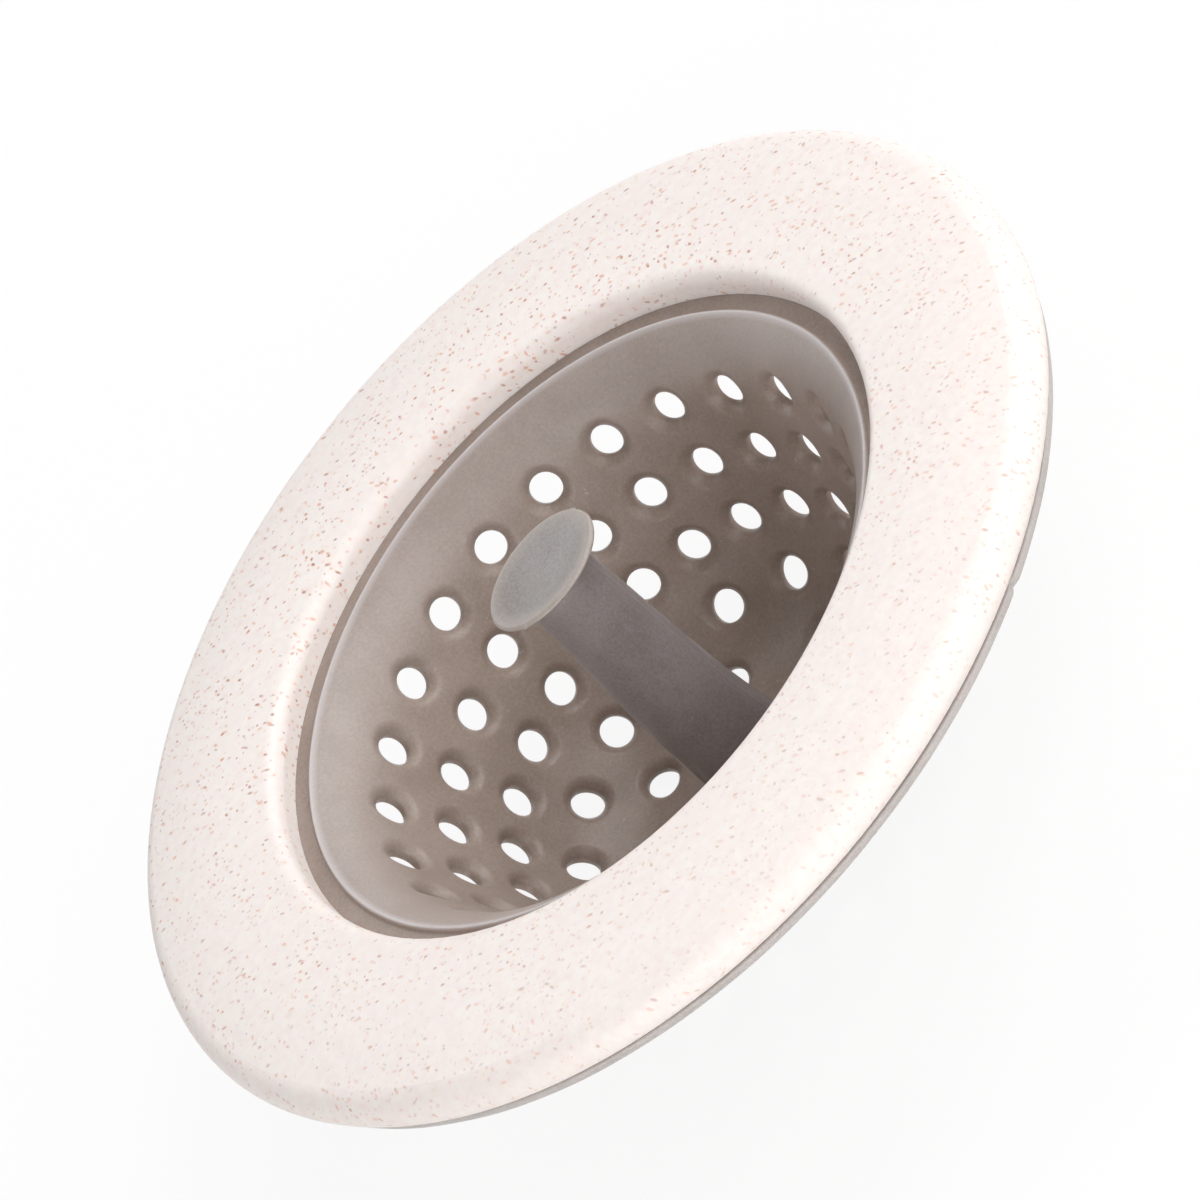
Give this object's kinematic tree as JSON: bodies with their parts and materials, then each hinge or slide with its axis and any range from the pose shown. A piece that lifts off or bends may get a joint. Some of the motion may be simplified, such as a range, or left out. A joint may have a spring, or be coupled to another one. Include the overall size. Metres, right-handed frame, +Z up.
{
  "type": "sink strainer",
  "caption": "Drop-in sink strainer: crowned hard ring on a soft sealing flange, perforated soft basket with flared mouth, and a tapered pull post with a dished cap.",
  "frame": {"origin": "on the drain's axis, in the plane of the flange's underside, which lies on the sink's drain rim", "axes": "+Z up out of the drain along its axis; the part is round, so X and Y pass through the first hole of the upper three rows"},
  "size_m": [0.114, 0.114, 0.038],
  "materials": {
    "speckled_plastic": "satin moulded, cream with fine tan, rust and grey-violet straw flecks",
    "flange_rubber": "matt translucent warm grey",
    "basket_rubber": "matt translucent warm grey, browner where it is deep",
    "post_rubber": "matt grey",
    "cap_rubber": "matt grey, lighter at its thin edge"
  },
  "bodies": {
    "strainer": {"rim_ring": "speckled_plastic", "sealing_flange": "flange_rubber", "strainer_basket": "basket_rubber"},
    "handle": {"handle_post": "post_rubber", "handle_cap": "cap_rubber"}
  },
  "joints": [
    {"name": "basket_push_through", "type": "slide", "parent": "strainer", "child": "handle", "axis": [0, 0, 1], "range_m": [0, 0.06], "deforming": ["strainer_basket"]}
  ]
}
